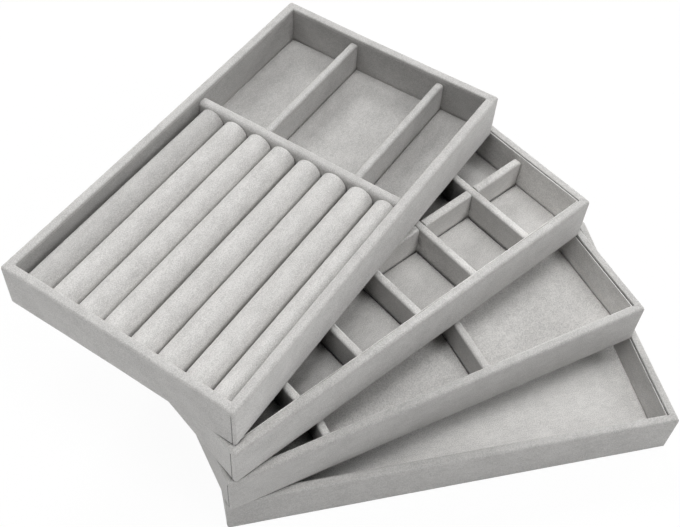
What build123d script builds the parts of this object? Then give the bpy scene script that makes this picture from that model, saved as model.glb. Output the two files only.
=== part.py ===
from build123d import *
from math import sqrt
import os

os.makedirs("parts", exist_ok=True)

# A set of four velvet jewelry trays of one outline, stacked and fanned about a corner.
# Lengths are in millimetres and angles in degrees. The origin is the centre of the
# bottom tray's underside, +X runs along its length, +Y across it and +Z up.

# Outline shared by the four trays
tray_length = 240.0
tray_width = 138.0
tray_height = 28.0
pile_gap = 0.3

# Velvet glued over the boards
velvet = 0.7
corner_radius = 1.2
rim_radius = 1.4
foot_chamfer = 0.4
turn_in = 12.0
seam_from_corner = 1.8
seam_width = 0.5
seam_depth = 0.5
seam_top_drop = 3.0

# Boards of the tray's frame
base_thickness = 3.0
wall_thickness = 3.0
board_chamfer = 0.8

# Felt sheet under the base
sheet_thickness = 0.3
sheet_inset = 3.0
sheet_corner_cut = 3.0

# Lining of the walls
lining_thickness = 0.9
lining_drop = 1.3
lining_chamfer = 0.3

# Padded floor
pad_thickness = 1.8
pad_clearance = 0.2
pad_edge_radius = 0.8

# Dividers
divider_thickness = 4.5
divider_drop = 3.5
divider_clearance = 0.15
divider_edge_radius = 1.5
slot_clearance = 0.1

# Three-part tray: clear lengths of the left and middle compartments
three_part_left_length = 46.9
three_part_middle_length = 86.9

# Grid tray: equal cells
grid_columns = 6
grid_rows = 3

# Ring tray: clear length of the rolls' section, the stouter divider beside it, and clear
# widths of two compartments beyond that
roll_section_length = 139.1
ring_divider_thickness = 5.6
ring_front_width = 25.5
ring_middle_width = 52.0

# Ring rolls on their card, the front one squeezed narrower than the others
roll_card_thickness = 1.0
roll_card_clearance = 0.3
roll_count = 8
roll_clearance = 0.5
roll_back_gap = 1.5
roll_drop = 4.0
front_roll_width = 14.1
roll_foot_radius = 2.4
roll_end_chamfer = 0.8
roll_cover = 1.0
roll_foot_share = 0.5

# The fan: each tray's turn on the one below, about a point measured from that tray's
# front left corner along its length and across it
three_part_turn_angle = 13.8
three_part_hinge_along = 15.4
three_part_hinge_across = 6.3
grid_turn_angle = 13.8
grid_hinge_along = 2.7
grid_hinge_across = 14.4
ring_turn_angle = 16.0
ring_hinge_along = -7.9
ring_hinge_across = 12.9

# Reach of a cutting shape beyond what it cuts
overrun = 5.0

# Levels above a tray's underside
base_bottom = sheet_thickness + velvet
base_top = base_bottom + base_thickness
board_top = tray_height - velvet
lining_top = tray_height - lining_drop
pad_top = base_top + pad_thickness
divider_top = tray_height - divider_drop
slot_level = (pad_top + divider_top) / 2
roll_bottom = pad_top + roll_card_thickness
roll_top = tray_height - roll_drop

# Distances in from a tray's outer faces
wrapped_wall = velvet + wall_thickness + velvet
lined_wall = wrapped_wall + lining_thickness
inner_length = tray_length - 2 * lined_wall
inner_width = tray_width - 2 * lined_wall

# Middle of a tray's plan
tray_middle = (tray_length / 2, tray_width / 2)


def even_places(clear_size, count):
    """Divider centres that part a clear size into equal cells, from a tray's outer face."""
    pitch = (clear_size + divider_thickness) / count
    return [lined_wall + pitch * number - divider_thickness / 2 for number in range(1, count)]


# Places of the dividers' centres, from the left wall's or the front wall's outer face
three_part_first = lined_wall + three_part_left_length + divider_thickness / 2
three_part_second = three_part_first + divider_thickness + three_part_middle_length
grid_cross_places = even_places(inner_length, grid_columns)
grid_long_places = even_places(inner_width, grid_rows)
ring_cross_place = lined_wall + roll_section_length + ring_divider_thickness / 2
ring_front_place = lined_wall + ring_front_width + divider_thickness / 2
ring_back_place = ring_front_place + divider_thickness + ring_middle_width

# Places of the rolls
roll_start = lined_wall + roll_card_clearance
roll_end = lined_wall + roll_section_length - roll_card_clearance
roll_length = roll_end - roll_start
roll_pitch = (inner_width - front_roll_width - roll_back_gap) / (roll_count - 1)
roll_widths = [front_roll_width] + [roll_pitch] * (roll_count - 1)
roll_fronts = [lined_wall + sum(roll_widths[:number]) for number in range(roll_count)]
roll_places = [front + width / 2 for front, width in zip(roll_fronts, roll_widths)]


def tray_on(below, hinge_along, hinge_across, turn):
    """The corner plane of a tray that stands on another, swung about a point of it."""
    rise = tray_height + pile_gap
    hinge = below.from_local_coords((hinge_along, hinge_across, rise))
    swung = Plane(hinge, x_dir=below.x_dir.rotate(Axis.Z, turn), z_dir=below.z_dir)
    corner = swung.from_local_coords((-hinge_along, -hinge_across, 0))
    return Plane(corner, x_dir=swung.x_dir, z_dir=swung.z_dir)


def upright(tray, along, across, direction):
    """A standing plane that faces sideways, with x along the direction and y upward."""
    foot = tray.from_local_coords((along, across, 0))
    return Plane(foot, x_dir=direction, z_dir=direction.cross(tray.z_dir))


def save(piece, name):
    """Label a finished piece and write it as one file."""
    piece.part.label = name
    export_step(piece.part, f"parts/{name}.step")


def underside_sheet(tray):
    """A felt sheet glued over the base, pressed into the window that the velvet leaves."""
    with BuildPart() as sheet:
        with BuildSketch(tray) as sheet_outline:
            with Locations(tray_middle):
                Rectangle(tray_length - 2 * sheet_inset, tray_width - 2 * sheet_inset)
            chamfer(sheet_outline.vertices(), sheet_corner_cut)
        extrude(amount=sheet_thickness)
        with BuildSketch(tray.offset(sheet_thickness)):
            with Locations(tray_middle):
                Rectangle(tray_length - 2 * turn_in, tray_width - 2 * turn_in)
        extrude(amount=velvet)
    return sheet


def base_board(tray):
    """The board that carries the walls."""
    with BuildPart() as board:
        with BuildSketch(tray.offset(base_bottom)) as board_outline:
            with Locations(tray_middle):
                Rectangle(tray_length - 2 * velvet, tray_width - 2 * velvet)
            chamfer(board_outline.vertices(), board_chamfer)
        extrude(amount=base_thickness)
    return board


def wall_frame(tray):
    """The four wall boards as one frame with bevelled top edges and corners."""
    board_depth = velvet + wall_thickness
    with BuildPart() as frame:
        with BuildSketch(tray.offset(base_top)) as frame_outline:
            with Locations(tray_middle):
                Rectangle(tray_length - 2 * velvet, tray_width - 2 * velvet)
            chamfer(frame_outline.vertices(), board_chamfer)
            with Locations(tray_middle):
                Rectangle(
                    tray_length - 2 * board_depth,
                    tray_width - 2 * board_depth,
                    mode=Mode.SUBTRACT,
                )
        extrude(amount=board_top - base_top)
        chamfer(frame.faces().sort_by(Axis.Z)[-1].edges(), board_chamfer)
    return frame


def wall_board(tray, frame, side):
    """One wall board: the long ones run right through, the short ones fit between them."""
    board_width = velvet + wall_thickness
    short_span = tray_width - 2 * board_width
    places = {
        "front": (tray_middle[0], board_width / 2, tray_length, board_width),
        "back": (tray_middle[0], tray_width - board_width / 2, tray_length, board_width),
        "left": (board_width / 2, tray_middle[1], board_width, short_span),
        "right": (tray_length - board_width / 2, tray_middle[1], board_width, short_span),
    }
    along, across, length, width = places[side]
    with BuildPart() as board:
        add(frame.part)
        with BuildSketch(tray):
            with Locations((along, across)):
                Rectangle(length, width)
        extrude(amount=tray_height, mode=Mode.INTERSECT)
    return board


def velvet_wrap(tray, base, frame):
    """The velvet outside the walls, over the rim, down inside and turned under the base."""
    with BuildPart() as wrap:
        with BuildSketch(tray.offset(sheet_thickness)):
            with Locations(tray_middle):
                RectangleRounded(tray_length, tray_width, corner_radius)
        extrude(amount=tray_height - sheet_thickness)
        chamfer(wrap.faces().sort_by(Axis.Z)[0].edges(), foot_chamfer)
        with BuildSketch(tray.offset(base_top)):
            with Locations(tray_middle):
                Rectangle(tray_length - 2 * wrapped_wall, tray_width - 2 * wrapped_wall)
        extrude(amount=tray_height, mode=Mode.SUBTRACT)
        fillet(wrap.faces().sort_by(Axis.Z)[-1].edges(), rim_radius)
        with BuildSketch(tray):
            with Locations(tray_middle):
                Rectangle(tray_length - 2 * turn_in, tray_width - 2 * turn_in)
        extrude(amount=base_bottom, mode=Mode.SUBTRACT)
        with BuildSketch(tray.offset(-overrun)):
            with Locations(*corner_seam_places()):
                Rectangle(2 * seam_depth, seam_width)
        extrude(amount=overrun + tray_height - seam_top_drop, mode=Mode.SUBTRACT)
        add(base.part, mode=Mode.SUBTRACT)
        add(frame.part, mode=Mode.SUBTRACT)
    return wrap


def corner_seam_places():
    """Where the velvet's edges meet, on the short walls beside each corner."""
    return [
        (along, across)
        for along in (0, tray_length)
        for across in (seam_from_corner, tray_width - seam_from_corner)
    ]


def wall_lining(tray):
    """The velvet-faced card that lines the walls from the base to just under the rim."""
    with BuildPart() as lining:
        with BuildSketch(tray.offset(base_top)):
            with Locations(tray_middle):
                Rectangle(tray_length - 2 * wrapped_wall, tray_width - 2 * wrapped_wall)
                Rectangle(inner_length, inner_width, mode=Mode.SUBTRACT)
        extrude(amount=lining_top - base_top)
        chamfer(lining.faces().sort_by(Axis.Z)[-1].edges(), lining_chamfer)
    return lining


def floor_pad(tray):
    """The thin pad that covers the floor within the lining."""
    with BuildPart() as pad:
        with BuildSketch(tray.offset(base_top)):
            with Locations(tray_middle):
                Rectangle(inner_length - 2 * pad_clearance, inner_width - 2 * pad_clearance)
        extrude(amount=pad_thickness)
        fillet(pad.faces().sort_by(Axis.Z)[-1].edges(), pad_edge_radius)
    return pad


def divider(tray, start, direction, length, thickness, slots_below=(), slots_above=()):
    """A wrapped card on edge, with rounded top edges and half-depth slots where it crosses."""
    face = upright(tray, *start, direction)
    slot_width = divider_thickness + 2 * slot_clearance
    height = divider_top - pad_top
    with BuildPart() as card:
        with BuildSketch(face.offset(-thickness / 2)):
            with Locations((length / 2, pad_top + height / 2)):
                Rectangle(length, height)
        extrude(amount=thickness)
        top_edges = card.faces().sort_by(Axis.Z)[-1].edges()
        fillet(top_edges.filter_by(Axis((0, 0, 0), tuple(direction))), divider_edge_radius)
        for places, side in ((slots_below, Align.MAX), (slots_above, Align.MIN)):
            for place in places:
                with BuildSketch(face.offset(-thickness)):
                    with Locations((place, slot_level)):
                        Rectangle(slot_width, height, align=(Align.CENTER, side))
                extrude(amount=2 * thickness, mode=Mode.SUBTRACT)
    return card


def cross_divider(tray, along, thickness=divider_thickness, slots_below=()):
    """A divider from the front wall's lining to the back wall's."""
    start = (along, lined_wall + divider_clearance)
    reach = inner_width - 2 * divider_clearance
    slots = [place - start[1] for place in slots_below]
    return divider(tray, start, tray.y_dir, reach, thickness, slots_below=slots)


def long_divider(tray, across, slots_above=()):
    """A divider from the left wall's lining to the right wall's."""
    start = (lined_wall + divider_clearance, across)
    reach = inner_length - 2 * divider_clearance
    slots = [place - start[0] for place in slots_above]
    return divider(tray, start, tray.x_dir, reach, divider_thickness, slots_above=slots)


def partition(tray, across):
    """A divider from the ring section's divider to the right wall's lining."""
    begin = ring_cross_place + ring_divider_thickness / 2 + divider_clearance
    reach = tray_length - lined_wall - divider_clearance - begin
    return divider(tray, (begin, across), tray.x_dir, reach, divider_thickness)


def roll_card(tray):
    """The card that carries the rolls."""
    with BuildPart() as card:
        with BuildSketch(tray.offset(pad_top)):
            with Locations(((roll_start + roll_end) / 2, tray_middle[1])):
                Rectangle(roll_length, inner_width - 2 * roll_card_clearance)
        extrude(amount=roll_card_thickness)
    return card


def roll_section(width, height, largest_foot_radius):
    """Half-round top over straight sides and soft lower corners, standing on its base."""
    half = width / 2
    shoulder = height - half
    foot = min(largest_foot_radius, shoulder * roll_foot_share)
    with BuildSketch(mode=Mode.PRIVATE) as section:
        with BuildLine():
            Line((foot - half, 0), (half - foot, 0))
            CenterArc((half - foot, foot), foot, -90, 90)
            Line((half, foot), (half, shoulder))
            CenterArc((0, shoulder), half, 0, 90)
            CenterArc((0, shoulder), half, 90, 90)
            Line((-half, shoulder), (-half, foot))
            CenterArc((foot - half, foot), foot, 180, 90)
        make_face()
    return section.sketch


def roll_plane(tray, along, across):
    """A plane across the rolls, facing along the tray, at the level of the card's top."""
    foot = tray.from_local_coords((along, across, roll_bottom))
    return Plane(foot, x_dir=tray.y_dir, z_dir=tray.x_dir)


def roll_core(tray, across, room):
    """The foam of one roll, which stands on the card and stops short of the cover's ends."""
    width = room - roll_clearance - 2 * roll_cover
    height = roll_top - roll_bottom - roll_cover
    section = roll_section(width, height, roll_foot_radius - roll_cover)
    end_cover = roll_end_chamfer + roll_cover
    with BuildPart() as core:
        with BuildSketch(roll_plane(tray, roll_start + end_cover, across)):
            add(section)
        extrude(amount=roll_length - 2 * end_cover)
    return core


def ring_roll(tray, across, room, core):
    """The velvet cover of one roll, closed and drawn in at both ends, open to the card."""
    section = roll_section(room - roll_clearance, roll_top - roll_bottom, roll_foot_radius)
    with BuildPart() as roll:
        with BuildSketch(roll_plane(tray, roll_start, across)):
            add(section)
        extrude(amount=roll_length)
        ends = roll.faces().filter_by(Axis((0, 0, 0), tuple(tray.x_dir)))
        rims = ends.edges().filter_by(lambda edge: edge.center().Z > foot_level(tray))
        chamfer(rims, roll_end_chamfer)
        add(core.part, mode=Mode.SUBTRACT)
    return roll


def foot_level(tray):
    """The height under which a roll's ends stay square."""
    return tray.origin.Z + roll_bottom


def shell(tray, name):
    """The pieces that every tray has."""
    base = base_board(tray)
    frame = wall_frame(tray)
    save(underside_sheet(tray), f"{name}_underside_sheet")
    save(base, f"{name}_base_board")
    for side in ("front", "back", "left", "right"):
        save(wall_board(tray, frame, side), f"{name}_{side}_wall_board")
    save(velvet_wrap(tray, base, frame), f"{name}_velvet_wrap")
    save(wall_lining(tray), f"{name}_wall_lining")
    save(floor_pad(tray), f"{name}_floor_pad")


# Open tray at the bottom
open_tray = Plane((-tray_middle[0], -tray_middle[1], 0), x_dir=(1, 0, 0), z_dir=(0, 0, 1))
shell(open_tray, "open_tray")

# Three-part tray
three_part_tray = tray_on(
    open_tray, three_part_hinge_along, three_part_hinge_across, three_part_turn_angle
)
shell(three_part_tray, "three_part_tray")
for number, along in enumerate((three_part_first, three_part_second), 1):
    save(cross_divider(three_part_tray, along), f"three_part_tray_cross_divider_{number}")

# Grid tray
grid_tray = tray_on(three_part_tray, grid_hinge_along, grid_hinge_across, grid_turn_angle)
shell(grid_tray, "grid_tray")
for number, along in enumerate(grid_cross_places, 1):
    crossing = cross_divider(grid_tray, along, slots_below=grid_long_places)
    save(crossing, f"grid_tray_cross_divider_{number}")
for number, across in enumerate(grid_long_places, 1):
    crossing = long_divider(grid_tray, across, slots_above=grid_cross_places)
    save(crossing, f"grid_tray_long_divider_{number}")

# Ring tray at the top
ring_tray = tray_on(grid_tray, ring_hinge_along, ring_hinge_across, ring_turn_angle)
shell(ring_tray, "ring_tray")
stout_divider = cross_divider(ring_tray, ring_cross_place, ring_divider_thickness)
save(stout_divider, "ring_tray_cross_divider")
for number, across in enumerate((ring_front_place, ring_back_place), 1):
    save(partition(ring_tray, across), f"ring_tray_partition_{number}")
save(roll_card(ring_tray), "ring_tray_roll_card")
cores = [roll_core(ring_tray, across, room) for across, room in zip(roll_places, roll_widths)]
for number, (across, room, core) in enumerate(zip(roll_places, roll_widths, cores), 1):
    save(ring_roll(ring_tray, across, room, core), f"ring_tray_ring_roll_{number}")
with BuildPart() as foam:
    for core in cores:
        add(core.part)
save(foam, "ring_tray_roll_foam")
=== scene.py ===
import math

import bmesh
import bpy
import numpy as np
from mathutils import Matrix, Quaternion, Vector, noise


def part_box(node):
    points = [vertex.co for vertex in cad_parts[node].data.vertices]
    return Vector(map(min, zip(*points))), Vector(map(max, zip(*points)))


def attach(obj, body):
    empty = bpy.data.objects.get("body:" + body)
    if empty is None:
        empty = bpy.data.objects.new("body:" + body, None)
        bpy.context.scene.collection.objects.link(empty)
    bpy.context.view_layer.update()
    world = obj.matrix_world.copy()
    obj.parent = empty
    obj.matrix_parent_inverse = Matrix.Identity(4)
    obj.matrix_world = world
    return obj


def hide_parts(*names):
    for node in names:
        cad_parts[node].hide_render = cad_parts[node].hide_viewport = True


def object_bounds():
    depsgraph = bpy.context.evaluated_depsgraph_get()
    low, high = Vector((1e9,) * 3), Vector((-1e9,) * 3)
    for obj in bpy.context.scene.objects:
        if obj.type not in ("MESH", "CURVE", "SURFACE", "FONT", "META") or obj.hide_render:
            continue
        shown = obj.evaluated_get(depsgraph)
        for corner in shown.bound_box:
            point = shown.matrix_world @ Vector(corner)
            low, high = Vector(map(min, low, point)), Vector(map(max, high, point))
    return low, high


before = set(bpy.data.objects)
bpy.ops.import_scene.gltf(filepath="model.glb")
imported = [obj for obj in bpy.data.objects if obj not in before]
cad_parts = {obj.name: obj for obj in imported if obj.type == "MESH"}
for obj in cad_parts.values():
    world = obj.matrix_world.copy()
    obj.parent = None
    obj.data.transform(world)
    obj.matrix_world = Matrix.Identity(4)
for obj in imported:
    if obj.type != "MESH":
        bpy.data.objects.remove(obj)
cad_low, cad_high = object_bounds()

# The looks of four velvet jewelry trays, stacked and fanned about a corner. Every piece is
# made in its tray's own axes, in millimetres: x along the tray from its left wall, y across
# it from its front wall, z up from its underside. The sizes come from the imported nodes.
# Levels are heights over the underside, depths are distances in from the outer face, and
# spreads are distances from an edge at which the stations beside it lie.
metres = 0.001

# What differs from tray to tray: how far the walls are drawn in at their middles (front,
# right, back, left), how far the lining's edge stands above the node's, whether the rim's
# velvet laps over the lining, how far the seams are from the front corners and half the
# width of their dark cut edge (painted shade in the seam's groove), the painted light and
# shade on each kind of piece (its velvet made lighter or darker for the light it gets), and
# how much painted light lies where such a piece faces up
trays = {
    "open_tray": {
        "drawn_in": (0.1, 0.5, 0.4, 0.3), "lining_rise": 0.0, "lapped": False, "seam": (2.6, 0.3),
        "painted_light_tones": {"velvet_wrap": 0.84, "wall_lining": 0.98, "floor_pad": 1.38},
        "top_highlights": {},
    },
    "three_part_tray": {
        "drawn_in": (0, 0.1, 0.3, 0.2), "lining_rise": 0.0, "lapped": False, "seam": (1.6, 0.5),
        "painted_light_tones": {"velvet_wrap": 0.88, "wall_lining": 1.2, "floor_pad": 1.31, "divider": 0.82},
        "top_highlights": {"divider": 0.35},
    },
    "grid_tray": {
        "drawn_in": (0, 0, 0.2, 0.3), "lining_rise": 0.7, "lapped": False, "seam": (2.8, 0.3),
        "painted_light_tones": {
            "velvet_wrap": 0.95, "wall_lining": 1.24, "floor_pad": 1.12,
            "cross_divider": 0.83, "long_divider": 1.18,
        },
        "top_highlights": {"cross_divider": 0.4, "long_divider": 0.05},
    },
    "ring_tray": {
        "drawn_in": (0.5, 0.5, 0.5, 0.4), "lining_rise": -0.7, "lapped": True, "seam": (1.8, 0.24),
        "painted_light_tones": {
            "velvet_wrap": 0.93, "wall_lining": 0.75, "floor_pad": 0.85, "cross_divider": 0.93,
            # ring_roll_8 is the last roll, against the back wall: painted shade makes it darker
            "partition": 0.84, "ring_roll": 1.04, "ring_roll_8": 0.87,
        },
        "top_highlights": {"partition": 0.08},
    },
}

# Stations along the sides of the outline, closest where the seams are
corner_steps = 10
side_step = 4.0
plain_spread = (0, 0.4, 1.2, 2.6, 5.5)
seam_spread_end = 2.5
seam_spread_step = 0.07
seam_spread_rest = (2.8, 3.8, 5.5)
smallest_step = 0.02

# Velvet wrap
velvet = 0.65
outline_radius = 1.2
inner_corner_radius = 0.5
rim_outer_radius = 1.5
rim_outer_steps = 10
rim_inner_radius = 0.5
rim_inner_steps = 6
rim_back_steps = 4
wall_stations = 25
wrap_levels = (20, 12, 6)
foot_radius = 0.35
foot_steps = 5
foot_level = 0.1
foot_width = 2.4
foot_blend = 0.6
turn_in = 12.0
turned_depths = (9, 6)
turned_gap = 0.05
board_gap = 0.1
skin_radius = 0.15
skin_steps = 2

# The lap of the rim's velvet over a lining
rim_lap_radius = 0.9
lap_height = 2.4
lap_taper = 1.8
lap_clearance = 0.25
lap_margin = 0.5

# Seams on the short walls beside the front corners, and the folds across the rim's corners
seam_depth = 0.25
seam_width = 0.32
seam_fold_height = 0.15
seam_lap_height = 0.08
seam_fold_width = 0.45
seam_fold_place = 0.55
seam_top = 25.4
seam_taper = 1.2
mitre_depth = 0.14
mitre_angle = 9.0

# Unevenness of glued velvet
ripple_height = 0.07
ripple_size = 19.0
dimple_height = 0.03
dimple_size = 5.0

# Seeds of the unevenness: one for each tray, and what each piece adds to it
seed_strides = (7.3, 3.1, 5.7)
tray_seed = 100
dimple_seed = 11
lining_seed = 0.5
lean_seed = 5
pad_seed = 0.7
cross_divider_seed = 20
long_divider_seed = 40
partition_seed = 50
roll_seed = 60
roll_dimple_seed = 3
foam_seed = 90

# Lining
lining_gap = 0.16
lining_cover = 0.2
lining_foot_gap = 0.1
lining_levels = (8, 13, 18, 22)
lining_front_drops = (2, 1)
lining_back_drops = (0.15, 1.5)
lining_back_level = 12
lining_edge_width = 0.1
lining_edge_drop = 0.02
lining_lip_radius = 0.35
lining_lip_steps = 4
lining_lean = 0.3
lining_lean_reach = 1
lining_ripple_share = 0.6
lining_corner_radius = 0.35

# Floor pads
pad_divider_radius = 0.7
pad_wall_radius = 0.25
pad_crown = 0.18
pad_crown_reach = 12
pad_ripple_depth = 0.3
pad_foot_gap = 0.05
pad_step = 4.0
pad_spread = (0, 0.1, 0.25, 0.45, 0.7, 1.2, 2.2)

# Dividers
divider_top_radius = 1.4
divider_top_share = 0.95
divider_side_stations = 7
divider_front_steps = 8
divider_back_steps = 6
stout_divider_half = 2.6
stout_divider_radius = 2.3
divider_end_radius = 1.6
divider_side_radius = 0.6
divider_joint_radius = 0.45
divider_joint_sink = 1.3
divider_sink = 0.25
divider_step = 4.0
divider_spread = (0, 0.08, 0.2, 0.4, 0.7, 1.0, 1.8)
divider_ripple_share = 0.5
divider_ripple_size_share = 0.6
notch_clearance = 0.1
notch_jump = 0.001
notch_spread = (0.25, 0.1, 0)

# Ring rolls, the front one first, and their foam cores
roll_shifts = (-0.5, -0.4, -0.1, -0.3, 0.2, -0.4, -0.4, -0.7)
roll_side_gap = 0.35
roll_left_gap = 0.05
roll_right_gap = 0.02
roll_foot_gap = 0.02
roll_end_radius = 0.6
roll_foot_radius = 2.4
roll_foot_share = 0.7
roll_foot_steps = 4
roll_side_stations = 5
roll_crown_steps = 32
roll_base_stations = 6
roll_cap_depth = 0.25
roll_cap_shares = (0.35, 0.7, 0.97)
roll_step = 3.0
roll_spread = (0, 0.05, 0.15, 0.35, 0.7, 1.1, 1.6, 2.2, 3.2)
roll_ripple = 0.1
roll_ripple_size_share = 1.4
roll_dimple_share = 0.3
foam_inset = 1.0
foam_end_inset = 2.4
foam_end_radius = 0.5

# Felt sheet under the base
felt_corner_radius = 2.5
felt_edge_radius = 0.15
felt_window_radius = 0.5
felt_window_gap = 0.1
felt_gap = 0.02

# Colours, and how far apart in metres the patterns of two pieces can lie
velvet_colour = (0.559, 0.55, 0.537)
# How dark the seams' cut edges are: painted shade in the seam grooves
seam_shade_share = 0.25
sheen_tint = (1, 0.99, 0.98, 1)
felt_colour = (0.09, 0.088, 0.085)
board_colour = (0.32, 0.28, 0.23)
card_colour = (0.42, 0.4, 0.36)
foam_colour = (0.68, 0.65, 0.56)
pattern_shift = 9.0

# How the nap is drawn out along each kind of piece
velvet_streaks = {
    "velvet_wrap": (0.5, 0.5, 1),
    "wall_lining": (0.5, 0.5, 1),
    "floor_pad": (0.5, 1, 1),
    "divider": (0.6, 0.6, 1),
    "partition": (0.6, 0.6, 1),
    "ring_roll": (0.4, 1, 1),
}

# Painted light on faces that look up: how far up a face looks where the painted light starts, and
# where it is strongest
top_highlight_start = 0.2
top_highlight_full = 0.9

# Painted shade in hollows, the colour darkened by ambient occlusion: how far it reaches in
# metres, the open shares at which it is deepest and gone, and its depth. The wide one paints
# the shadow under an overhanging tray, the narrow one the shade along seams and where two
# trays touch.
wide_painted_shade = (0.06, 0.02, 0.12, 0.95)
narrow_painted_shade = (0.0035, 0.2, 0.72, 0.92)
painted_shade_samples = 8
painted_shades = {
    "velvet_wrap": narrow_painted_shade,
    "floor_pad": wide_painted_shade,
    "divider": wide_painted_shade,
    "cross_divider": wide_painted_shade,
    "long_divider": wide_painted_shade,
}

# Floor and backdrop, with sizes in metres
floor_size = 8.0
floor_gap = 0.0001
floor_albedo = 0.92
shadow_share = 0.05
backdrop_white = 1.0
ambient = 0.02
ambient_colour = (0.97, 0.985, 1.0, 1)

# Studio lights: name, azimuth, elevation and strength
soft_light_spread = 22
soft_lights = (
    ("overhead", 0, 90, 0.8),
    ("high_right", 120, 65, 0.4),
    ("high_left", 240, 65, 0.58),
    ("back", 0, 40, 1.4),
    ("front_right", 135, 40, 0.6),
    ("left", 270, 40, 0.44),
    ("low_back", 60, 15, 1.3),
)

# Camera of the photograph, whose frame is 680 by 527 pixels; its place is in metres
image_width = 680
camera_sensor = 36.0
camera_focal_pixels = 1047.4
camera_centre_pixel = 300
camera_place = (-0.1363, -0.2873, 0.5088)
camera_azimuth = 12.99
camera_elevation = 52.69
camera_roll = 1.6
camera_clip = 0.01


def node_points(node, axes):
    """A CAD node's vertices along the given axes, in millimetres."""
    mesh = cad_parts[node].data
    flat = np.zeros(3 * len(mesh.vertices))
    mesh.vertices.foreach_get("co", flat)
    return flat.reshape(-1, 3) @ axes / metres


def middle(node):
    """The middle of a CAD node's box."""
    low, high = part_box(node)
    return (low + high) / 2


class Tray:
    """A tray's own axes, read from its walls, and the spans of its nodes along them."""

    def __init__(self, name):
        self.name = name
        along = (middle(f"{name}_right_wall_board") - middle(f"{name}_left_wall_board")).normalized()
        across = (middle(f"{name}_back_wall_board") - middle(f"{name}_front_wall_board")).normalized()
        self.axes = np.array([along, across, along.cross(across)]).T
        self.corner = np.zeros(3)
        low, high = self.span("velvet_wrap")
        sheet_low = self.span("underside_sheet")[0]
        self.corner = np.array([low[0], low[1], sheet_low[2]])
        self.length, self.width, self.height = high - self.corner
        origin = Vector(self.axes @ self.corner * metres)
        turn = Matrix(self.axes.tolist()).to_4x4()
        self.place = Matrix.Translation(origin) @ turn

    def span(self, node):
        """Lowest and highest corner of one of the tray's nodes, in the tray's axes."""
        points = node_points(f"{self.name}_{node}", self.axes) - self.corner
        return points.min(0), points.max(0)

    def nodes(self, part):
        """The tray's nodes whose names start with the given part, in order."""
        start = f"{self.name}_{part}"
        return sorted(node[len(self.name) + 1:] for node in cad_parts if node.startswith(start))


def direction(degrees):
    """A unit vector in the plan at this angle from the tray's length."""
    return np.array([math.cos(math.radians(degrees)), math.sin(math.radians(degrees))])


def arc(centre, radius, start, end, steps):
    """Points of an arc, first and last included, with the outward direction at each."""
    angles = [start + (end - start) * step / steps for step in range(steps + 1)]
    return [(*(np.array(centre) + radius * direction(angle)), *direction(angle)) for angle in angles]


def arc_places(centre, radius, start, end, steps):
    """Points of an arc, without the directions."""
    return [entry[:2] for entry in arc(centre, radius, start, end, steps)]


def side_shares(length, dense):
    """Where the stations lie along a side, as shares of it, closer together near its ends."""
    outer = [offset for offset in dense if offset < length / 2]
    count = max(2, round((length - 2 * outer[-1]) / side_step))
    inner = np.linspace(outer[-1], length - outer[-1], count + 1)[1:-1]
    places = outer + inner.tolist() + [length - offset for offset in reversed(outer)]
    return np.array(places) / length


class Outline:
    """The stations round a tray, shared by every loop of its wrap, lining and felt."""

    def __init__(self, tray, drawn_in, seam):
        self.tray = tray
        self.drawn_in = drawn_in
        self.seam_place, self.seam_shade_half_width = seam
        self.short_side = tray.width - 2 * outline_radius
        closest = np.arange(0, seam_spread_end, seam_spread_step).tolist()
        long_shares = side_shares(tray.length - 2 * outline_radius, plain_spread)
        short_shares = side_shares(self.short_side, [*closest, *seam_spread_rest])
        self.shares = [long_shares, short_shares, long_shares, short_shares]

    def loop(self, depth, radius):
        """Plan points and outward directions, inset by a depth, with this corner radius."""
        low = depth + radius
        right = self.tray.length - low
        back = self.tray.width - low
        centres = np.array([(low, low), (right, low), (right, back), (low, back)])
        points = []
        outward = []
        for side in range(4):
            facing = direction(90 * side - 90)
            start = centres[side] + radius * facing
            end = centres[(side + 1) % 4] + radius * facing
            for share in self.shares[side]:
                pull = self.drawn_in[side] * math.sin(math.pi * share)
                points.append(start + (end - start) * share - pull * facing)
                outward.append(facing)
            for step in range(1, corner_steps):
                turned = direction(90 * side - 90 + 90 * step / corner_steps)
                points.append(centres[(side + 1) % 4] + radius * turned)
                outward.append(turned)
        return np.array(points), np.array(outward)

    def seam_distances(self):
        """Signed distance of each station from the nearest seam, positive towards its corner."""
        found = []
        from_side_end = self.seam_place - outline_radius
        quarter_turn = math.pi / 2 * outline_radius
        for side in range(4):
            for share in self.shares[side]:
                to_front = self.short_side * {1: share, 3: 1 - share}.get(side, math.inf)
                found.append(from_side_end - to_front)
            for step in range(1, corner_steps):
                share = step / corner_steps
                to_short_side = {0: 1 - share, 3: share}.get(side, math.inf)
                found.append(from_side_end + quarter_turn * to_short_side)
        return np.array(found)

    def mitre_weights(self):
        """How close each station is to the middle of a corner, from 0 to 1."""
        found = []
        for side in range(4):
            found += [0.0] * len(self.shares[side])
            for step in range(1, corner_steps):
                away = 90 * step / corner_steps - 45
                found.append(math.exp(-(away / mitre_angle) ** 2))
        return np.array(found)


def unevenness(points, seed, height, size):
    """Smooth seeded noise at each point, up to about the given height."""
    shift = Vector([seed * stride for stride in seed_strides])
    return np.array([noise.noise(Vector(point) / size + shift) for point in points]) * height


def loft(rings, joined=False):
    """Quads between closed rings of equal count, joined last to first or capped at both ends."""
    rings = np.asarray(rings, float)
    count, around = rings.shape[:2]
    number = np.arange(count * around).reshape(count, around)
    here = number if joined else number[:-1]
    there = np.roll(number, -1, axis=0) if joined else number[1:]
    quads = np.stack([here, np.roll(here, -1, 1), np.roll(there, -1, 1), there], -1)
    faces = quads.reshape(-1, 4).tolist()
    if not joined:
        faces += [number[0].tolist(), number[-1].tolist()]
    return rings.reshape(-1, 3), faces


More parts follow.
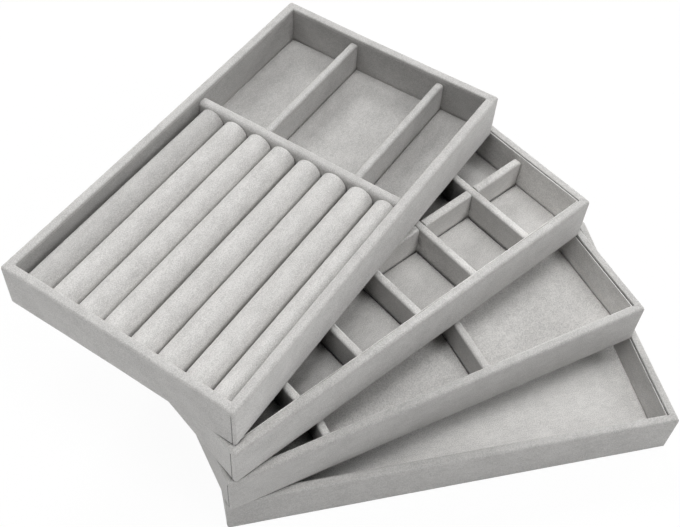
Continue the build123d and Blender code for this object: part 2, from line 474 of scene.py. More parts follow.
def piece(tray, name, points, faces, material, nodes):
    """A smooth closed mesh that stands for CAD nodes and rides on its tray."""
    mesh = bpy.data.meshes.new(name)
    mesh.from_pydata((np.asarray(points) * metres).tolist(), [], faces)
    cleaner = bmesh.new()
    cleaner.from_mesh(mesh)
    bmesh.ops.recalc_face_normals(cleaner, faces=cleaner.faces)
    cleaner.to_mesh(mesh)
    cleaner.free()
    mesh.polygons.foreach_set("use_smooth", [True] * len(mesh.polygons))
    mesh.materials.append(material)
    thing = bpy.data.objects.new(name, mesh)
    bpy.context.scene.collection.objects.link(thing)
    thing.matrix_world = tray.place
    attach(thing, tray.name)
    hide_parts(*[f"{tray.name}_{node}" for node in nodes])
    return thing


def wrap_profile(tray, lapped):
    """The wrap's cross-section: depth in from the outer face, height, outward direction."""
    low, high = tray.span("velvet_wrap")
    wall = tray.span("wall_lining")[0][0]
    board_low, board_high = tray.span("base_board")
    bottom = low[2]
    top = high[2]
    edge = tray.span("floor_pad")[0][0] - lap_clearance if lapped else wall
    outer_centre = (rim_outer_radius, top - rim_outer_radius)
    inner_radius = rim_lap_radius if lapped else rim_inner_radius
    inner_centre = (edge - inner_radius, top - inner_radius)
    lap_end = top - lap_height - lap_taper
    turned = (turn_in, *turned_depths, foot_width + foot_blend)
    outside = [(depth, bottom, 0, -1) for depth in turned]
    outside += [(foot_width, foot_level, 0, -1)]
    outside += arc((foot_radius, foot_level + foot_radius), foot_radius, 270, 180, foot_steps)
    heights = np.linspace(foot_level + foot_radius, outer_centre[1], wall_stations)[1:-1]
    outside += [(0, height, -1, 0) for height in heights]
    outside += arc(outer_centre, rim_outer_radius, 180, 90, rim_outer_steps)
    outside += arc(inner_centre, inner_radius, 90, 0, rim_inner_steps)
    if lapped:
        outside += [(edge, top - lap_height, 1, 0), (wall, lap_end, 0, 0)]
    inner_heights = (lap_end - lap_margin, *wrap_levels[:2], board_high[2] + board_gap)
    outside += [(wall, height, 1, 0) for height in inner_heights]
    skin = wall - velvet
    skin_centre = (skin - skin_radius, top - velvet - skin_radius)
    turn_top = board_low[2] - turned_gap
    inside = [(skin, height) for height in inner_heights[::-1]]
    inside += arc_places(skin_centre, skin_radius, 0, 90, skin_steps)
    inside += arc_places(outer_centre, rim_outer_radius - velvet, 90, 180, rim_back_steps)
    inside += [(velvet, height) for height in wrap_levels]
    inside += [(depth, turn_top) for depth in (velvet + skin_radius, turned_depths[-1], turn_in)]
    return np.array(outside + [(*place, 0, 0) for place in inside])


def velvet_wrap(tray, outline, seed, lapped):
    """Velvet over the walls, seamed beside the front corners and folded across the rim's corners."""
    seam_distance = outline.seam_distances()
    mitre = outline.mitre_weights()
    to_fold = (seam_distance - seam_fold_place) / seam_fold_width
    to_lap = (seam_distance + seam_fold_place) / seam_fold_width
    fold_in = seam_fold_height * np.exp(-to_fold ** 2)
    fold_out = seam_lap_height * np.exp(-to_lap ** 2)
    seam = fold_in + fold_out - seam_depth * np.exp(-(seam_distance / seam_width) ** 2)
    # Faces on each seam's cut edge get a dark velvet: painted shade in the seam's groove
    on_seam_shade = np.abs(seam_distance) < outline.seam_shade_half_width
    wall = tray.span("wall_lining")[0][0]
    rings = []
    seam_shade_faces = []
    for depth, height, inward, upward in wrap_profile(tray, lapped):
        radius = outline_radius + (inner_corner_radius - outline_radius) * min(1, depth / wall)
        plan, outward = outline.loop(depth, radius)
        ring = np.column_stack([plan, np.full(len(plan), height)])
        shown = float(inward != 0 or upward > 0)
        lift = unevenness(ring, seed, ripple_height, ripple_size)
        lift += unevenness(ring, seed + dimple_seed, dimple_height, dimple_size)
        fade = min(1, max(0, (seam_top - height) / seam_taper))
        on_outer_wall = float(inward < -0.5) * fade
        on_rim = max(0, upward) * float(height > tray.height / 2)
        move = shown * lift + on_outer_wall * seam - on_rim * mitre_depth * mitre
        ring[:, :2] -= outward * (inward * move)[:, None]
        ring[:, 2] += max(0, upward) * move
        rings.append(ring)
        seam_shade_faces.append(on_seam_shade & (on_outer_wall > 0.5))
    points, faces = loft(rings, joined=True)
    material = velvet_finish(tray.name, "velvet_wrap")
    wrap = piece(tray, f"{tray.name}_velvet", points, faces, material, ["velvet_wrap"])
    # The dark seam velvet: painted shade in the seam grooves
    wrap.data.materials.append(seam_shade_finish)
    wrap.data.polygons.foreach_set("material_index", np.ravel(seam_shade_faces).astype(int))


def wall_lining(tray, outline, seed, rise):
    """The lining inside the walls, its lip standing a little off the wrap."""
    low, high = tray.span("wall_lining")
    outer = low[0] + lining_gap
    inner = tray.span("floor_pad")[0][0] - lining_cover
    top = high[2] + rise
    bottom = low[2] + lining_foot_gap
    lip = lining_lip_radius
    levels = (bottom, *lining_levels, *(top - drop for drop in lining_front_drops))
    profile = [(inner, height, 1, 0) for height in levels]
    profile += arc((inner - lip, top - lip), lip, 0, 90, lining_lip_steps)
    profile += [(outer + lining_edge_width, top - lining_edge_drop, 0, 1)]
    profile += [(outer, top - drop, 0, 0) for drop in lining_back_drops]
    profile += [(outer, lining_back_level, 0, 0), (outer, bottom, 0, 0)]
    rings = []
    for depth, height, inward, upward in profile:
        plan, outward = outline.loop(depth, lining_corner_radius)
        ring = np.column_stack([plan, np.full(len(plan), height)])
        shown = float(inward != 0 or upward != 0)
        lift = unevenness(ring, seed, lining_ripple_share * ripple_height, ripple_size)
        lean = 0
        if depth < inner - lip and height > top - lining_lean_reach:
            level_ring = ring * [1, 1, 0]
            lean = np.abs(unevenness(level_ring, seed + lean_seed, lining_lean, 2 * ripple_size))
        ring[:, :2] -= outward * (shown * inward * lift + lean)[:, None]
        rings.append(ring)
    points, faces = loft(rings, joined=True)
    material = velvet_finish(tray.name, "wall_lining")
    piece(tray, f"{tray.name}_lining", points, faces, material, ["wall_lining"])


def graded(edges, low, high, spread, step):
    """Grid places from low to high, closer together beside each edge."""
    places = {low, high}
    for edge in edges:
        for offset in spread:
            places.update(place for place in (edge - offset, edge + offset) if low < place < high)
    ordered = sorted(places)
    filled = [ordered[0]]
    for place in ordered[1:]:
        gap = place - filled[-1]
        if gap < smallest_step:
            continue
        parts = max(1, round(gap / step))
        filled += np.linspace(filled[-1], place, parts + 1)[1:].tolist()
    return np.array(filled)


def floor_pad(tray, cells, seed):
    """The padded floor, drawn down beside the walls and the dividers and crowned between them."""
    low, high = tray.span("floor_pad")
    edges_along = sorted({edge for cell in cells for edge in cell[:2]})
    edges_across = sorted({edge for cell in cells for edge in cell[2:]})
    along = graded(edges_along, low[0], high[0], pad_spread, pad_step)
    across = graded(edges_across, low[1], high[1], pad_spread, pad_step)
    top = high[2]
    grid = np.array([[(x, y, 0) for y in across] for x in along], float)
    x = grid[..., 0]
    y = grid[..., 1]
    height = np.full(x.shape, top - pad_divider_radius)
    for left, right, front, back in cells:
        inside = (x > left) & (x < right) & (y > front) & (y < back)
        drop = np.zeros(x.shape)
        edge = np.full(x.shape, math.inf)
        for away, at_wall in (
            (x - left, left == low[0]), (right - x, right == high[0]),
            (y - front, front == low[1]), (back - y, back == high[1]),
        ):
            radius = pad_wall_radius if at_wall else pad_divider_radius
            short = radius - np.clip(away, 0, radius)
            drop = np.maximum(drop, radius - np.sqrt(radius ** 2 - short ** 2))
            edge = np.minimum(edge, away)
        rise = np.clip(edge / pad_crown_reach, 0, 1)
        crown = pad_crown * rise * (2 - rise)
        height = np.where(inside, top - drop + crown, height)
    lift = unevenness(grid.reshape(-1, 3), seed, ripple_height, ripple_size).reshape(x.shape)
    grid[..., 2] = height + lift * (height > top - pad_ripple_depth)
    under = grid.copy()
    under[..., 2] = low[2] + pad_foot_gap
    points = np.concatenate([grid.reshape(-1, 3), under.reshape(-1, 3)])
    total = x.size
    number = np.arange(total).reshape(x.shape)
    corners = [number[:-1, :-1], number[1:, :-1], number[1:, 1:], number[:-1, 1:]]
    quads = np.stack(corners, -1).reshape(-1, 4)
    border = number[:, 0].tolist() + number[-1, 1:].tolist()
    border += number[-2::-1, -1].tolist() + number[0, -2:0:-1].tolist()
    sides = [[a, b, b + total, a + total] for a, b in zip(border, border[1:] + border[:1])]
    faces = quads.tolist() + (quads + total).tolist() + sides
    material = velvet_finish(tray.name, "floor_pad")
    pad = piece(tray, f"{tray.name}_floor", points, faces, material, ["floor_pad"])


def divider_section(half, low, high):
    """A divider's cross-section: straight sides, rounded top edges."""
    edge = min(divider_top_radius, divider_top_share * half)
    front = stout_divider_radius if half > stout_divider_half else edge
    front_levels = np.linspace(low, high - front, divider_side_stations)
    back_levels = np.linspace(high - edge, low, divider_side_stations)
    section = [(-half, height) for height in front_levels]
    section += arc_places((front - half, high - front), front, 180, 90, divider_front_steps)[1:]
    section += arc_places((half - edge, high - edge), edge, 90, 0, divider_back_steps)
    section += [(half, height) for height in back_levels[1:]]
    return np.array(section)


def rounded(distance, radius):
    """How far a rounded edge of this radius falls away at a distance from its end."""
    inside = min(max(distance, 0), radius)
    return radius - math.sqrt(radius ** 2 - (radius - inside) ** 2)


def divider(tray, node, seed, notches_above=(), notches_below=(), slot_level=0, butted=False):
    """A wrapped card on edge, rounded at its ends and notched where it crosses another."""
    low, high = tray.span(node)
    lengthwise = high[0] - low[0] > high[1] - low[1]
    main = 0 if lengthwise else 1
    side = 1 - main
    start = low[main] - divider_joint_sink * butted
    end = high[main]
    half = (high[side] - low[side]) / 2
    centre = (high[side] + low[side]) / 2
    foot = low[2] - divider_sink
    top = high[2]
    notches = (*notches_above, *notches_below)
    reach = half + notch_clearance
    stations = []
    for place in graded([start, end, *notches], start, end, divider_spread, divider_step):
        if any(abs(place - notch) < reach + divider_joint_radius for notch in notches):
            continue
        from_end = min(place - start, end - place)
        at_joint = butted and place - start < end - place
        narrow = rounded(from_end, divider_joint_radius if at_joint else divider_side_radius)
        lower = rounded(from_end, divider_joint_radius if at_joint else divider_end_radius)
        stations.append((place, half - narrow, foot, top - lower))
    for notch in notches_above:
        for sign in (-1, 1):
            for away in (divider_joint_radius, *notch_spread):
                fall = rounded(away, divider_joint_radius)
                stations.append((notch + sign * (reach + away), half, foot, top - fall))
            stations.append((notch + sign * (reach - notch_jump), half, foot, slot_level))
    for notch in notches_below:
        for sign in (-1, 1):
            stations.append((notch + sign * reach, half, foot, top))
            stations.append((notch + sign * (reach - notch_jump), half, slot_level, top))
        stations.append((notch, half, slot_level, top))
    rings = []
    for place, across, bottom, upper in sorted(stations):
        section = divider_section(across, bottom, upper)
        ring = np.zeros((len(section), 3))
        ring[:, main] = place
        ring[:, side] = centre + section[:, 0]
        ring[:, 2] = section[:, 1]
        height = divider_ripple_share * ripple_height
        lift = unevenness(ring, seed, height, divider_ripple_size_share * ripple_size)
        ring[:, side] += lift * np.sign(section[:, 0]) * min(1, across / half)
        rings.append(ring)
    points, faces = loft(rings)
    material = velvet_finish(tray.name, node)
    piece(tray, f"{tray.name}_{node}_velvet", points, faces, material, [node])


def roll_section(half, low, high, widest_foot):
    """A roll's cross-section: a half-round crown over straight sides and soft lower corners."""
    shoulder = high - half
    foot = min(widest_foot, (shoulder - low) * roll_foot_share, half * roll_foot_share)
    left_levels = np.linspace(low + foot, shoulder, roll_side_stations)
    right_levels = np.linspace(shoulder, low + foot, roll_side_stations)
    base_places = np.linspace(half - foot, foot - half, roll_base_stations)
    section = arc_places((foot - half, low + foot), foot, 270, 180, roll_foot_steps)
    section += [(-half, height) for height in left_levels[1:-1]]
    section += arc_places((0, shoulder), half, 180, 0, roll_crown_steps)
    section += [(half, height) for height in right_levels[1:-1]]
    section += arc_places((half - foot, low + foot), foot, 0, -90, roll_foot_steps)
    section += [(across, low) for across in base_places[1:-1]]
    return np.array(section)


def roll_rings(start, end, centre, half, low, high, foot, end_radius, seed, ripple):
    """Closed rings along one roll, drawn in towards both of its ends."""
    rings = []
    for place in graded([start, end], start, end, roll_spread, roll_step):
        inset = rounded(min(place - start, end - place), end_radius)
        section = roll_section(half - inset, low, high - inset, foot)
        ring = np.column_stack([np.full(len(section), place), centre + section[:, 0], section[:, 1]])
        lift = unevenness(ring, seed, ripple, roll_ripple_size_share * ripple_size)
        lift += unevenness(ring, seed + roll_dimple_seed, roll_dimple_share * ripple, dimple_size)
        crown = np.clip((section[:, 1] - low) / (high - low), 0, 1)
        ring[:, 2] += lift * crown
        rings.append(ring)
    middle_height = (low + high) / 2
    for ring, outward in ((rings[0], -1), (rings[-1], 1)):
        face = ring.copy()
        cap = outward * roll_cap_depth
        hub = np.array([face[0, 0] + cap, centre, middle_height])
        closed = [face + (hub - face) * share for share in roll_cap_shares]
        for share, loop in zip(roll_cap_shares, closed):
            loop[:, 0] = face[0, 0] + cap * math.sin(share * math.pi / 2)
        rings = closed[::-1] + rings if outward < 0 else rings + closed
    return rings


def ring_roll(tray, node, shift, seed):
    """The velvet cover of one roll, a little off its place."""
    low, high = tray.span(node)
    centre = (low[1] + high[1]) / 2 + shift
    half = (high[1] - low[1]) / 2 - roll_side_gap
    start = low[0] + roll_left_gap
    end = high[0] - roll_right_gap
    rings = roll_rings(
        start, end, centre, half, low[2] + roll_foot_gap, high[2],
        roll_foot_radius, roll_end_radius, seed, roll_ripple,
    )
    points, faces = loft(rings)
    material = velvet_finish(tray.name, node)
    roll = piece(tray, f"{tray.name}_{node}_velvet", points, faces, material, [node])


def roll_foam(tray, rolls):
    """The foam cores of all the rolls, as one piece."""
    points = np.zeros((0, 3))
    faces = []
    for number, (node, shift) in enumerate(zip(rolls, roll_shifts)):
        low, high = tray.span(node)
        centre = (low[1] + high[1]) / 2 + shift
        half = (high[1] - low[1]) / 2 - roll_side_gap - foam_inset
        start = low[0] + foam_end_inset
        end = high[0] - foam_end_inset
        rings = roll_rings(
            start, end, centre, half, low[2] + foam_inset, high[2] - foam_inset,
            roll_foot_radius - foam_inset, foam_end_radius, foam_seed + number, 0,
        )
        more_points, more_faces = loft(rings)
        faces += [[corner + len(points) for corner in face] for face in more_faces]
        points = np.concatenate([points, more_points])
    foam = piece(tray, f"{tray.name}_foam_cores", points, faces, foam_finish, ["roll_foam"])


def underside_felt(tray, outline):
    """The felt sheet glued under the base, pressed into the window that the velvet leaves."""
    low, high = tray.span("underside_sheet")
    inset = low[0]
    step_level = tray.span("velvet_wrap")[0][2] - felt_gap
    window = turn_in + felt_window_gap
    levels = [
        (inset + felt_edge_radius, low[2]),
        (inset, low[2] + felt_edge_radius),
        (inset, step_level),
        (window, step_level),
        (window, high[2] - felt_gap),
    ]
    rings = []
    for depth, height in levels:
        radius = felt_corner_radius if depth < turn_in else felt_window_radius
        plan = outline.loop(depth, radius)[0]
        rings.append(np.column_stack([plan, np.full(len(plan), height)]))
    points, faces = loft(rings)
    piece(tray, f"{tray.name}_felt", points, faces, felt_finish, ["underside_sheet"])


class Finish:
    """A procedural material built round one Principled shader."""

    def __init__(self, name, **settings):
        self.material = bpy.data.materials.new(name)
        self.material.use_nodes = True
        self.tree = self.material.node_tree
        self.shader = self.tree.nodes["Principled BSDF"]
        for socket, value in settings.items():
            self.shader.inputs[socket.replace("_", " ")].default_value = value
        coordinates = self.node("ShaderNodeTexCoord")
        information = self.node("ShaderNodeObjectInfo")
        shift = self.node("ShaderNodeMath", operation="MULTIPLY")
        shift.inputs[1].default_value = pattern_shift
        self.join(information.outputs["Random"], shift.inputs[0])
        shifted = self.node("ShaderNodeVectorMath", operation="ADD")
        self.join(coordinates.outputs["Object"], shifted.inputs[0])
        self.join(shift.outputs[0], shifted.inputs[1])
        self.place = shifted.outputs[0]

    def node(self, kind, **properties):
        """A new shader node with these properties."""
        made = self.tree.nodes.new(kind)
        for key, value in properties.items():
            setattr(made, key, value)
        return made

    def join(self, output, socket):
        """A link from an output to a socket."""
        self.tree.links.new(output, socket)

    def noise(self, scale, detail=3.0, roughness=0.5, stretch=(1, 1, 1)):
        """Noise from 0 to 1 with features about 1 / scale metres wide."""
        mapping = self.node("ShaderNodeMapping")
        mapping.inputs["Scale"].default_value = stretch
        self.join(self.place, mapping.inputs["Vector"])
        texture = self.node("ShaderNodeTexNoise")
        texture.inputs["Scale"].default_value = scale
        texture.inputs["Detail"].default_value = detail
        texture.inputs["Roughness"].default_value = roughness
        self.join(mapping.outputs[0], texture.inputs["Vector"])
        return texture.outputs["Fac"]

    def weighted(self, parts):
        """The sum of outputs, each times its weight and centred on zero, plus a half."""
        total = None
        for output, weight in parts:
            scaled = self.node("ShaderNodeMath", operation="MULTIPLY_ADD")
            scaled.inputs[1].default_value = weight
            self.join(output, scaled.inputs[0])
            if total is None:
                scaled.inputs[2].default_value = 0.5 - sum(weight for _, weight in parts) / 2
            else:
                self.join(total, scaled.inputs[2])
            total = scaled.outputs[0]
        return total

    def ranged(self, output, start, end, first, last):
        """An output that runs from start to end, made to run from first to last."""
        spread = self.node("ShaderNodeMapRange")
        spread.inputs["From Min"].default_value = start
        spread.inputs["From Max"].default_value = end
        spread.inputs["To Min"].default_value = first
        spread.inputs["To Max"].default_value = last
        self.join(output, spread.inputs["Value"])
        return spread.outputs["Result"]

    def times(self, colour, share):
        """A colour output times a share output."""
        scaled = self.node("ShaderNodeVectorMath", operation="SCALE")
        self.join(colour, scaled.inputs[0])
        self.join(share, scaled.inputs["Scale"])
        return scaled.outputs[0]

    def colours(self, factor, stops, top_highlight=0, painted_shade=None):
        """The base colour from a ramp of stops, with painted light where it faces up and painted
        shade in hollows.
        """
        ramp = self.node("ShaderNodeValToRGB")
        elements = ramp.color_ramp.elements
        while len(elements) < len(stops):
            elements.new(0.5)
        for element, (position, colour) in zip(elements, stops):
            element.position = position
            element.color = (*colour, 1)
        self.join(factor, ramp.inputs["Fac"])
        surface = self.node("ShaderNodeNewGeometry")
        upward = self.node("ShaderNodeSeparateXYZ")
        self.join(surface.outputs["Normal"], upward.inputs[0])
        # Painted light: the colour is made lighter on faces that look up
        painted_top_light = self.ranged(upward.outputs["Z"], top_highlight_start, top_highlight_full, 1, 1 + top_highlight)
        shown = self.times(ramp.outputs["Color"], painted_top_light)
        # Painted shade: the colour is made darker where ambient occlusion finds the surface closed in
        if painted_shade:
            reach, closed_share, open_share, deepest = painted_shade
            openness = self.node("ShaderNodeAmbientOcclusion", samples=painted_shade_samples)
            openness.inputs["Distance"].default_value = reach
            painted_shade_share = self.ranged(openness.outputs["AO"], closed_share, open_share, 1 - deepest, 1)
            shown = self.times(shown, painted_shade_share)
        self.join(shown, self.shader.inputs["Base Color"])

    def roughness(self, factor, low, high):
        """The roughness, from low to high as the factor goes from 0 to 1."""
        self.join(self.ranged(factor, 0, 1, low, high), self.shader.inputs["Roughness"])

    def bump(self, height, strength, distance):
        """A fine relief that tilts the shading only."""
        relief = self.node("ShaderNodeBump")
        relief.inputs["Strength"].default_value = strength
        relief.inputs["Distance"].default_value = distance
        self.join(height, relief.inputs["Height"])
        self.join(relief.outputs["Normal"], self.shader.inputs["Normal"])


def scaled_colour(colour, share):
    """A colour times a share."""
    return tuple(channel * share for channel in colour)


def velvet_material(name, colour, sheen=0.4, streak=(1, 1, 1), top_highlight=0, painted_shade=None):
    """Short-pile velvet: crushed patches, streaks of nap and a fine grain of pile."""
    finish = Finish(name, Specular_IOR_Level=0.12, Sheen_Weight=sheen, Sheen_Roughness=0.45)
    finish.shader.inputs["Sheen Tint"].default_value = sheen_tint
    patches = finish.noise(75, detail=3, roughness=0.55)
    nap = finish.noise(420, detail=3, roughness=0.6, stretch=streak)
    pile = finish.noise(1900, detail=2, roughness=0.6)
    tone = finish.weighted([(patches, 0.4), (nap, 0.4), (pile, 1.5)])
    finish.colours(tone, [
        (0.25, scaled_colour(colour, 0.8)),
        (0.5, colour),
        (0.75, scaled_colour(colour, 1.18)),
    ], top_highlight, painted_shade)
    finish.roughness(nap, 0.86, 1.0)
    relief = finish.weighted([(nap, 0.5), (pile, 1.0)])
    finish.bump(relief, 0.35, 0.00035)
    return finish.material


def board_material(name, colour):
    """Pressed grey board: long fibres, flecks and a faint mottle."""
    finish = Finish(name, Specular_IOR_Level=0.3)
    fibres = finish.noise(420, detail=4, roughness=0.65, stretch=(0.2, 1, 1))
    flecks = finish.noise(1500, detail=2)
    mottle = finish.noise(60)
    tone = finish.weighted([(fibres, 1.0), (flecks, 0.6), (mottle, 0.5)])
    finish.colours(tone, [
        (0.15, scaled_colour(colour, 0.72)),
        (0.5, colour),
        (0.85, scaled_colour(colour, 1.25)),
    ])
    finish.roughness(flecks, 0.7, 0.92)
    finish.bump(fibres, 0.3, 0.0003)
    return finish.material


def foam_material(name, colour):
    """Fine open-cell foam: pores over a pale body."""
    finish = Finish(name, Specular_IOR_Level=0.2)
    cells = finish.node("ShaderNodeTexVoronoi")
    cells.inputs["Scale"].default_value = 1400
    finish.join(finish.place, cells.inputs["Vector"])
    mottle = finish.noise(200)
    tone = finish.weighted([(cells.outputs["Distance"], 1.2), (mottle, 0.4)])
    finish.colours(tone, [
        (0.2, colour),
        (0.6, scaled_colour(colour, 0.9)),
        (0.95, scaled_colour(colour, 0.55)),
    ])
    finish.roughness(mottle, 0.8, 0.95)
    finish.bump(cells.outputs["Distance"], 0.5, 0.0004)
    return finish.material


def felt_material(name, colour):
    """Thin needle felt: tangled fibres with lighter and darker threads."""
    finish = Finish(name, Specular_IOR_Level=0.1, Sheen_Weight=0.2, Sheen_Roughness=0.6)
    tangle = finish.noise(900, detail=5, roughness=0.7)
    threads = finish.noise(380, detail=2, stretch=(0.25, 1, 1))
    patches = finish.noise(50)
    tone = finish.weighted([(tangle, 1.2), (threads, 0.5), (patches, 0.4)])
    finish.colours(tone, [
        (0.15, scaled_colour(colour, 0.75)),
        (0.5, colour),
        (0.85, scaled_colour(colour, 1.2)),
    ])
    finish.roughness(threads, 0.88, 1.0)
    finish.bump(tangle, 0.5, 0.0004)
    return finish.material


# Dark velvet for the seams' cut edges: painted shade in the seam grooves
seam_shade_colour = scaled_colour(velvet_colour, seam_shade_share)
seam_shade_finish = velvet_material("velvet_cut_edge", seam_shade_colour, sheen=0)
# One velvet for each tray and part: the colour scaled by painted light and shade, with painted light
# where it faces up and painted shade in hollows
velvet_finishes = {
    (name, part): velvet_material(
        f"{name}_{part}_velvet", scaled_colour(velvet_colour, tone),
        streak=next(streak for kind, streak in velvet_streaks.items() if kind in part),
        top_highlight=manner["top_highlights"].get(part, 0),
        painted_shade=painted_shades.get(part),
    )
    for name, manner in trays.items()
    for part, tone in manner["painted_light_tones"].items()
}
felt_finish = felt_material("felt", felt_colour)
board_finish = board_material("grey_board", board_colour)
card_finish = board_material("roll_card", card_colour)
foam_finish = foam_material("roll_foam", foam_colour)

node_finishes = {
    "roll_foam": foam_finish,
    "roll_card": card_finish,
    "underside_sheet": felt_finish,
    "board": board_finish,
}


def velvet_finish(tray_name, node):
    """The velvet of a node: the closest entry among its tray's velvet copies, each made lighter or
    darker by painted light and shade.
    """
    parts = [part for name, part in velvet_finishes if name == tray_name and part in node]
    return velvet_finishes[tray_name, max(parts, key=len)]


def finish_node(node, thing):
    """Give a carried-over CAD node the material of what it is made of."""
    material = next((found for part, found in node_finishes.items() if part in node), None)
    if material is None:
        material = velvet_finish(next(name for name in trays if node.startswith(name)), node)
    thing.data.materials.clear()
    thing.data.materials.append(material)


def compartments(tray):
    """The clear rectangles between the walls and the dividers: left, right, front, back."""
    low, high = tray.span("floor_pad")
    cross_spans = [tray.span(node) for node in tray.nodes("cross_divider")]
    long_nodes = tray.nodes("long_divider") + tray.nodes("partition")
    long_spans = [tray.span(node) for node in long_nodes]
    edges = [low[0]]
    for node_low, node_high in cross_spans:
        edges += [node_low[0], node_high[0]]
    cells = []
    for left, right in zip(edges[0::2], [*edges[1::2], high[0]]):
        fronts = [low[1]]
        for node_low, node_high in long_spans:
            if node_low[0] < (left + right) / 2 < node_high[0]:
                fronts += [node_low[1], node_high[1]]
        rows = zip(fronts[0::2], [*fronts[1::2], high[1]])
        cells += [(left, right, front, back) for front, back in rows]
    return cells


def middles(tray, nodes, axis):
    """Where the middles of these nodes lie along an axis of the tray."""
    return [sum(corner[axis] for corner in tray.span(node)) / 2 for node in nodes]


def dress(name, seed, manner):
    """Every piece of one tray."""
    tray = Tray(name)
    outline = Outline(tray, manner["drawn_in"], manner["seam"])
    velvet_wrap(tray, outline, seed, manner["lapped"])
    wall_lining(tray, outline, seed + lining_seed, manner["lining_rise"])
    underside_felt(tray, outline)
    floor_pad(tray, compartments(tray), seed + pad_seed)
    cross_nodes = tray.nodes("cross_divider")
    long_nodes = tray.nodes("long_divider")
    crossing_along = middles(tray, cross_nodes, 0)
    crossing_across = middles(tray, long_nodes, 1)
    for number, (node, level) in enumerate(zip(cross_nodes, middles(tray, cross_nodes, 2))):
        own_seed = seed + cross_divider_seed + number
        divider(tray, node, own_seed, notches_below=crossing_across, slot_level=level)
    for number, (node, level) in enumerate(zip(long_nodes, middles(tray, long_nodes, 2))):
        own_seed = seed + long_divider_seed + number
        divider(tray, node, own_seed, notches_above=crossing_along, slot_level=level)
    for number, node in enumerate(tray.nodes("partition")):
        divider(tray, node, seed + partition_seed + number, butted=True)
    rolls = tray.nodes("ring_roll")
    for number, (node, shift) in enumerate(zip(rolls, roll_shifts)):
        ring_roll(tray, node, shift, seed + roll_seed + number)
    if rolls:
        roll_foam(tray, rolls)


def seen_directly(tree):
    """1 for rays from the camera and through gloss or glass, else 0."""
    path = tree.nodes.new("ShaderNodeLightPath")
    total = path.outputs["Is Camera Ray"]
    for output in ("Is Glossy Ray", "Is Transmission Ray"):
        larger = tree.nodes.new("ShaderNodeMath")
        larger.operation = "MAXIMUM"
        tree.links.new(total, larger.inputs[0])
        tree.links.new(path.outputs[output], larger.inputs[1])
        total = larger.outputs[0]
    return total


def mixed(tree, factor, first, second):
    """A mix of two shaders by a factor that is a number or an output."""
    mix = tree.nodes.new("ShaderNodeMixShader")
    if isinstance(factor, float):
        mix.inputs[0].default_value = factor
    else:
        tree.links.new(factor, mix.inputs[0])
    tree.links.new(first.outputs[0], mix.inputs[1])
    tree.links.new(second.outputs[0], mix.inputs[2])
    return mix


def floor_material():
    """A pale floor that looks white with a faint shadow, and is clear from below."""
    material = bpy.data.materials.new("studio_floor")
    material.use_nodes = True
    tree = material.node_tree
    tree.nodes.clear()
    output = tree.nodes.new("ShaderNodeOutputMaterial")
    plain = tree.nodes.new("ShaderNodeBsdfDiffuse")
    plain.inputs["Color"].default_value = (floor_albedo,) * 3 + (1,)
    glow = tree.nodes.new("ShaderNodeEmission")
    glow.inputs["Strength"].default_value = backdrop_white
    clear = tree.nodes.new("ShaderNodeBsdfTransparent")
    side = tree.nodes.new("ShaderNodeNewGeometry")
    below = tree.nodes.new("ShaderNodeMath")
    below.operation = "MULTIPLY"
    tree.links.new(seen_directly(tree), below.inputs[0])
    tree.links.new(side.outputs["Backfacing"], below.inputs[1])
    shown = mixed(tree, shadow_share, glow, plain)
    chosen = mixed(tree, seen_directly(tree), plain, shown)
    surface = mixed(tree, below.outputs[0], chosen, clear)
    tree.links.new(surface.outputs[0], output.inputs["Surface"])
    return material


def studio_floor():
    """A large plain floor, just below the object's underside."""
    half = floor_size / 2
    mesh = bpy.data.meshes.new("studio_floor")
    corners = [(-half, -half, 0), (half, -half, 0), (half, half, 0), (-half, half, 0)]
    mesh.from_pydata(corners, [], [(0, 1, 2, 3)])
    mesh.materials.append(floor_material())
    ground = bpy.data.objects.new("studio_floor", mesh)
    ground.location.z = cad_low.z - floor_gap
    bpy.context.scene.collection.objects.link(ground)


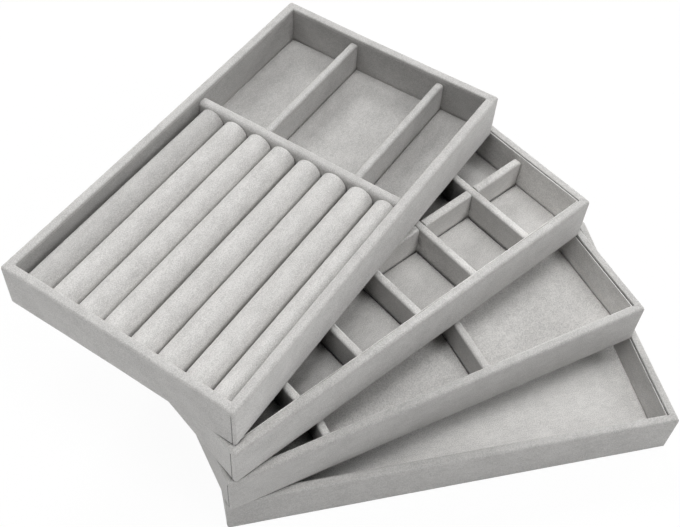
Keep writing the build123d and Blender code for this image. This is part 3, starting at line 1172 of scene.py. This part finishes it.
def studio_world():
    """White to the eye, a soft even dome to the object."""
    world = bpy.data.worlds.new("studio")
    bpy.context.scene.world = world
    world.use_nodes = True
    tree = world.node_tree
    tree.nodes.clear()
    output = tree.nodes.new("ShaderNodeOutputWorld")
    dome = tree.nodes.new("ShaderNodeBackground")
    dome.inputs["Color"].default_value = ambient_colour
    dome.inputs["Strength"].default_value = ambient
    white = tree.nodes.new("ShaderNodeBackground")
    white.inputs["Color"].default_value = (1, 1, 1, 1)
    white.inputs["Strength"].default_value = backdrop_white
    surface = mixed(tree, seen_directly(tree), dome, white)
    tree.links.new(surface.outputs[0], output.inputs["Surface"])


def heading(azimuth, elevation):
    """The unit vector at an azimuth, from the back towards the right, and an elevation."""
    turned = math.radians(azimuth)
    raised = math.radians(elevation)
    level = math.cos(raised)
    return Vector((math.sin(turned) * level, math.cos(turned) * level, math.sin(raised)))


def soft_light(name, azimuth, elevation, strength):
    """A broad soft light from this direction."""
    data = bpy.data.lights.new(name, "SUN")
    data.energy = strength
    data.angle = math.radians(soft_light_spread)
    thing = bpy.data.objects.new(name, data)
    thing.rotation_mode = "QUATERNION"
    thing.rotation_quaternion = (-heading(azimuth, elevation)).to_track_quat("-Z", "Y")
    bpy.context.scene.collection.objects.link(thing)


def camera():
    """The photograph's camera: its place, its view direction and its slight roll."""
    data = bpy.data.cameras.new("camera")
    data.sensor_fit = "HORIZONTAL"
    data.sensor_width = camera_sensor
    data.lens = camera_focal_pixels / image_width * camera_sensor
    data.shift_x = (image_width / 2 - camera_centre_pixel) / image_width
    data.clip_start = camera_clip
    data.dof.use_dof = False
    thing = bpy.data.objects.new("camera", data)
    thing.location = camera_place
    thing.rotation_mode = "QUATERNION"
    view = heading(camera_azimuth, -camera_elevation)
    turn = Quaternion((0, 0, 1), math.radians(camera_roll))
    thing.rotation_quaternion = view.to_track_quat("-Z", "Y") @ turn
    bpy.context.scene.collection.objects.link(thing)
    bpy.context.scene.camera = thing


for node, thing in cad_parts.items():
    finish_node(node, thing)
for number, (name, manner) in enumerate(trays.items()):
    dress(name, tray_seed * number, manner)

studio_floor()
studio_world()
for name, azimuth, elevation, strength in soft_lights:
    soft_light(name, azimuth, elevation, strength)
camera()

bpy.context.scene.view_settings.view_transform = "Standard"
